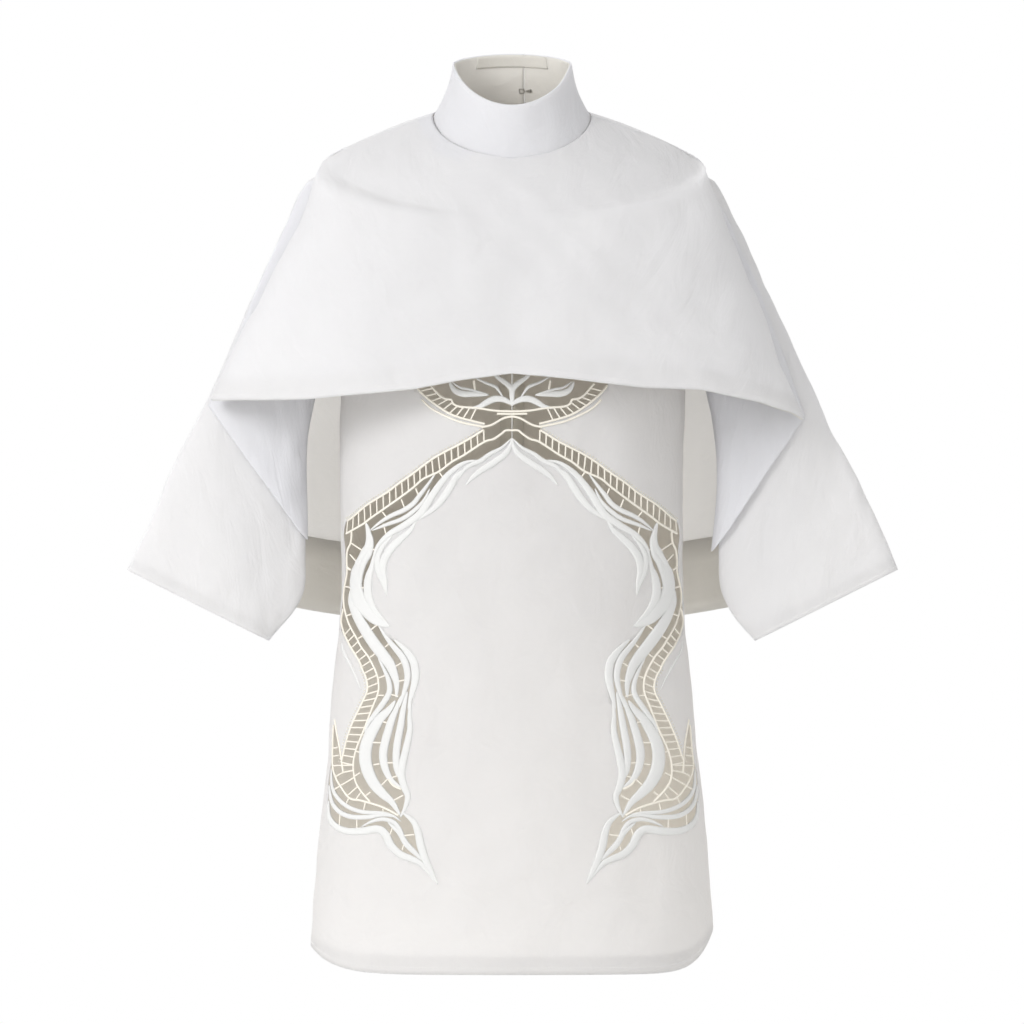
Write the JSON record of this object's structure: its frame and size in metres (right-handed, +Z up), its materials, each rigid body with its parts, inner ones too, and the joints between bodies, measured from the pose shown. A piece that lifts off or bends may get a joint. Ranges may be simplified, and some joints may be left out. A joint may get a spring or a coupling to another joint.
{
  "type": "short tunic dress with attached cape",
  "caption": "Short straight tunic with stand collar, attached front and back cape, wide flat sleeves with over-flaps and an openwork embroidered front.",
  "frame": {"origin": "midway between the two side neck points, at the level of the highest line of the shoulders, where a hanger or a neck holds the garment", "axes": "+X to the wearer's left, -Y to the front, +Z up"},
  "size_m": [0.772, 0.261, 0.9191],
  "materials": {
    "poplin": "crisp matt cotton weave",
    "poplin_inside": "matt cotton, wrong side",
    "embroidery": "satin thread",
    "zip_tape": "woven tape",
    "metal": "plated"
  },
  "bodies": {
    "dress": {"front_panel": "poplin", "back_panel_left": "poplin", "back_panel_right": "poplin", "hem_facing_front": "poplin", "hem_facing_back_left": "poplin", "hem_facing_back_right": "poplin", "collar_outer": "poplin", "collar_lining": "poplin_inside", "neck_tape": "poplin_inside", "collar_hook": "metal", "collar_eye": "metal", "cape_front_top": "poplin", "cape_back_top_left": "poplin", "cape_back_top_right": "poplin", "lace_bowl": "embroidery", "lace_band_left": "embroidery", "lace_band_right": "embroidery", "zip_tape_left": "zip_tape", "zip_tape_right": "zip_tape", "zip_bottom_stop": "metal"},
    "cape_front": {"cape_front_fall": "poplin", "cape_front_facing": "poplin"},
    "cape_back_left": {"cape_back_fall_left": "poplin", "cape_back_hem_left": "poplin_inside"},
    "cape_back_right": {"cape_back_fall_right": "poplin", "cape_back_hem_right": "poplin_inside"},
    "arm_left": {"sleeve_left": "poplin", "sleeve_facing_left": "poplin", "over_flap_left": "poplin"},
    "arm_right": {"sleeve_right": "poplin", "sleeve_facing_right": "poplin", "over_flap_right": "poplin"},
    "slider": {"zip_slider": "metal"},
    "pull": {"zip_pull": "metal"}
  },
  "joints": [
    {"name": "cape_front_lift", "type": "hinge", "parent": "dress", "child": "cape_front", "pos_m": [0, -0.116, -0.14], "axis": [-1, 0, 0], "range_deg": [0, 50]},
    {"name": "cape_back_left_lift", "type": "hinge", "parent": "dress", "child": "cape_back_left", "pos_m": [0, 0.11, -0.14], "axis": [1, 0, 0], "range_deg": [0, 45]},
    {"name": "cape_back_right_lift", "type": "hinge", "parent": "dress", "child": "cape_back_right", "pos_m": [0, 0.11, -0.14], "axis": [1, 0, 0], "range_deg": [0, 45]},
    {"name": "sleeve_left_raise", "type": "hinge", "parent": "dress", "child": "arm_left", "pos_m": [0.176, 0, -0.045], "axis": [0, -1, 0], "range_deg": [0, 50]},
    {"name": "sleeve_right_raise", "type": "hinge", "parent": "dress", "child": "arm_right", "pos_m": [-0.176, 0, -0.045], "axis": [0, 1, 0], "range_deg": [0, 50]},
    {"name": "zip_slide", "type": "slide", "parent": "dress", "child": "slider", "axis": [0, 0.0922, -0.9957], "range_m": [0, 0.365]},
    {"name": "zip_pull_tilt", "type": "hinge", "parent": "slider", "child": "pull", "pos_m": [0, 0.06416, -0.02677], "axis": [1, 0, 0], "range_deg": [0, 35]}
  ]
}
